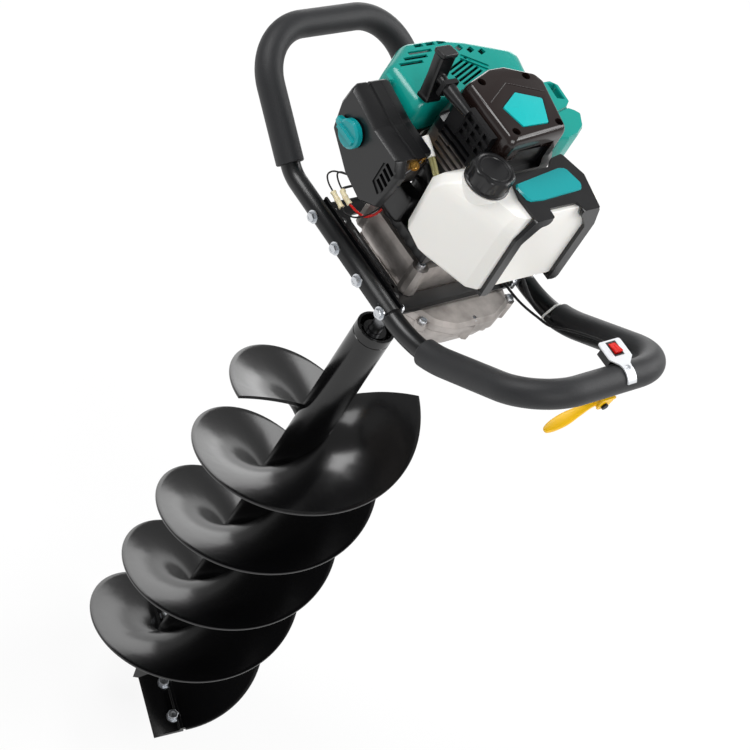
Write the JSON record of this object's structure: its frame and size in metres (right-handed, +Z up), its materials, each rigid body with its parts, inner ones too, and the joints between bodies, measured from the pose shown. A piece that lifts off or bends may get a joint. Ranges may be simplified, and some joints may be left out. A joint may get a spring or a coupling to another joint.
{
  "type": "earth auger",
  "caption": "Hand-held petrol earth auger: a small engine and gearbox on a tubular frame with foam-covered loop handles, driving a drill with two helical flights and bolted blades.",
  "frame": {"origin": "on the drill's axis, level with the centrelines of the two frame tubes, midway between the tubes", "axes": "+Z up along the drill's axis, +X along the frame tubes towards the throttle handle, +Y from the tube beside the air filter towards the other tube"},
  "size_m": [0.5901, 0.277, 1.1993],
  "materials": {
    "black_enamel": "gloss",
    "frame_paint": "satin",
    "foam": "matte",
    "cast": "as cast",
    "steel": "machined",
    "zinc": "zinc plated",
    "brass": "satin",
    "black_plastic": "satin",
    "brown_plastic": "satin",
    "teal_plastic": "gloss",
    "tank_plastic": "satin",
    "yellow_plastic": "gloss",
    "red_plastic": "gloss",
    "rubber": "matte",
    "clear_tube": "gloss"
  },
  "bodies": {
    "frame": {"frame_tube_left": "frame_paint", "frame_tube_right": "frame_paint", "deck_plate": "frame_paint", "grip_foam_left": "foam", "grip_foam_right": "foam", "filter_element": "foam", "gearbox_upper_case": "cast", "gearbox_lower_case": "cast", "clutch_housing": "cast", "crankcase": "cast", "cylinder": "cast", "carburettor": "cast", "input_bearing": "steel", "output_bearing": "steel", "recoil_spring": "steel", "muffler": "steel", "lever_pivot_screw": "zinc", "switch_plate": "zinc", "starter_housing": "black_plastic", "filter_cover": "black_plastic", "filter_base": "black_plastic", "tank_guard": "black_plastic", "switch_body": "black_plastic", "starter_cover": "brown_plastic", "cylinder_shroud": "teal_plastic", "muffler_cover": "teal_plastic", "guard_inlay": "teal_plastic", "starter_badge_plate": "teal_plastic", "fuel_tank": "tank_plastic", "cable_tie": "tank_plastic", "lever_bracket": "yellow_plastic", "stop_switch_lead": "red_plastic", "spark_plug_cap": "rubber", "throttle_cable": "rubber", "fuel_line": "clear_tube"},
    "drill": {"output_shaft": "steel", "drive_pin": "steel", "drill_tube": "black_enamel", "flight_first": "black_enamel", "flight_second": "black_enamel", "blade_first": "black_enamel", "blade_second": "black_enamel", "pilot_point": "black_enamel"},
    "layshaft": {"layshaft_gear": "steel"},
    "clutch_drum": {"clutch_drum": "steel"},
    "crank": {"crankshaft": "steel", "flywheel": "cast", "clutch_shoe_first": "cast", "clutch_shoe_second": "cast"},
    "starter_pulley": {"starter_pulley": "black_plastic"},
    "starter_handle": {"starter_handle": "black_plastic", "starter_rope": "foam"},
    "fuel_cap": {"fuel_cap": "black_plastic"},
    "filter_knob": {"filter_knob": "teal_plastic"},
    "choke_lever": {"choke_lever": "teal_plastic"},
    "throttle_arm": {"throttle_arm": "brass"},
    "throttle_lever": {"throttle_lever": "yellow_plastic"},
    "switch_rocker": {"switch_rocker": "red_plastic"}
  },
  "joints": [
    {"name": "drill_spin", "type": "hinge", "parent": "frame", "child": "drill", "pos_m": [0, 0, -0.1], "axis": [0, 0, 1], "continuous": true},
    {"name": "layshaft_spin", "type": "hinge", "parent": "frame", "child": "layshaft", "pos_m": [0.048, 0, -0.03], "axis": [0, 0, 1], "continuous": true},
    {"name": "clutch_drum_spin", "type": "hinge", "parent": "frame", "child": "clutch_drum", "pos_m": [0, 0, 0.02], "axis": [0, 0, 1], "continuous": true},
    {"name": "crank_spin", "type": "hinge", "parent": "frame", "child": "crank", "pos_m": [0, 0, 0.1], "axis": [0, 0, 1], "continuous": true},
    {"name": "starter_pull", "type": "slide", "parent": "frame", "child": "starter_handle", "axis": [-0.8503, -0.5264, 0], "range_m": [0, 0.6], "stiffness_N_per_m": 15, "springref_m": -0.3},
    {"name": "starter_pulley_spin", "type": "hinge", "parent": "frame", "child": "starter_pulley", "pos_m": [0, 0, 0.229], "axis": [0, 0, 1], "range_deg": [-1440, 0]},
    {"name": "fuel_cap_turn", "type": "hinge", "parent": "frame", "child": "fuel_cap", "pos_m": [0.058, -0.071, 0.21], "axis": [0, 0, 1], "range_deg": [0, 300]},
    {"name": "filter_knob_turn", "type": "hinge", "parent": "frame", "child": "filter_knob", "pos_m": [-0.071, -0.142, 0.148], "axis": [0, 1, 0], "range_deg": [0, 90]},
    {"name": "choke_lever_turn", "type": "hinge", "parent": "frame", "child": "choke_lever", "pos_m": [-0.108, -0.082, 0.161], "axis": [0, 1, 0], "range_deg": [0, 55]},
    {"name": "throttle_lever_squeeze", "type": "hinge", "parent": "frame", "child": "throttle_lever", "pos_m": [0.27895, 0.003, 0.07891], "axis": [1, 0, 0], "range_deg": [-16, 0], "stiffness_Nm_per_rad": 0.6, "springref_deg": 17.19},
    {"name": "throttle_arm_turn", "type": "hinge", "parent": "frame", "child": "throttle_arm", "pos_m": [-0.045, -0.07, 0.14], "axis": [0, 0, 1], "range_deg": [-1, 46]},
    {"name": "stop_switch", "type": "hinge", "parent": "frame", "child": "switch_rocker", "pos_m": [0.24895, 0.0195, 0.12341], "axis": [0, 1, 0], "range_deg": [0, 15]}
  ],
  "couplings": [
    {"joint": "layshaft_spin", "follows": "drill_spin", "ratio": -5.4},
    {"joint": "clutch_drum_spin", "follows": "drill_spin", "ratio": 29.16},
    {"joint": "starter_pulley_spin", "follows": "starter_pull", "rad_per_m": -41.84},
    {"joint": "throttle_arm_turn", "follows": "throttle_lever_squeeze", "ratio": -2.8}
  ]
}
